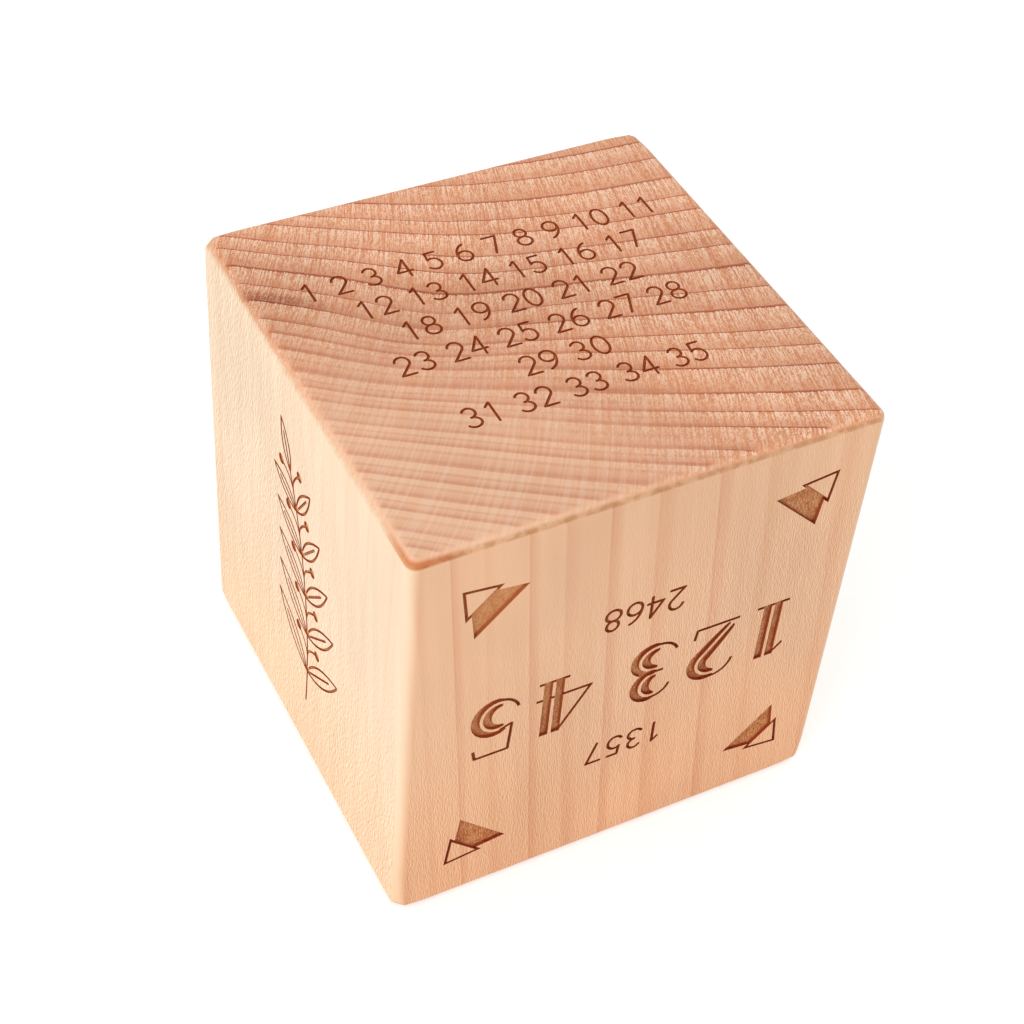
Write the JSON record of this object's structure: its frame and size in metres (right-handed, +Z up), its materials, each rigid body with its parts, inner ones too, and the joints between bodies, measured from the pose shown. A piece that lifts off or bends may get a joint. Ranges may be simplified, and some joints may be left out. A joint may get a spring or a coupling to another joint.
{
  "type": "wooden keepsake block",
  "caption": "Solid maple block, a little taller than wide, with sanded edges and corners and an engraved front; stands on a shelf or stacks as a toy block.",
  "frame": {"origin": "middle of the face that the block stands on", "axes": "+Z up along the grain, -Y out of the engraved front face with the corner ornaments, -X out of the left face"},
  "size_m": [0.0508, 0.0504, 0.0536],
  "materials": {
    "maple": "bare hard maple, sanded smooth, satin, with laser-burnt engraving"
  },
  "bodies": {
    "root": {"maple_block": "maple"}
  },
  "joints": []
}
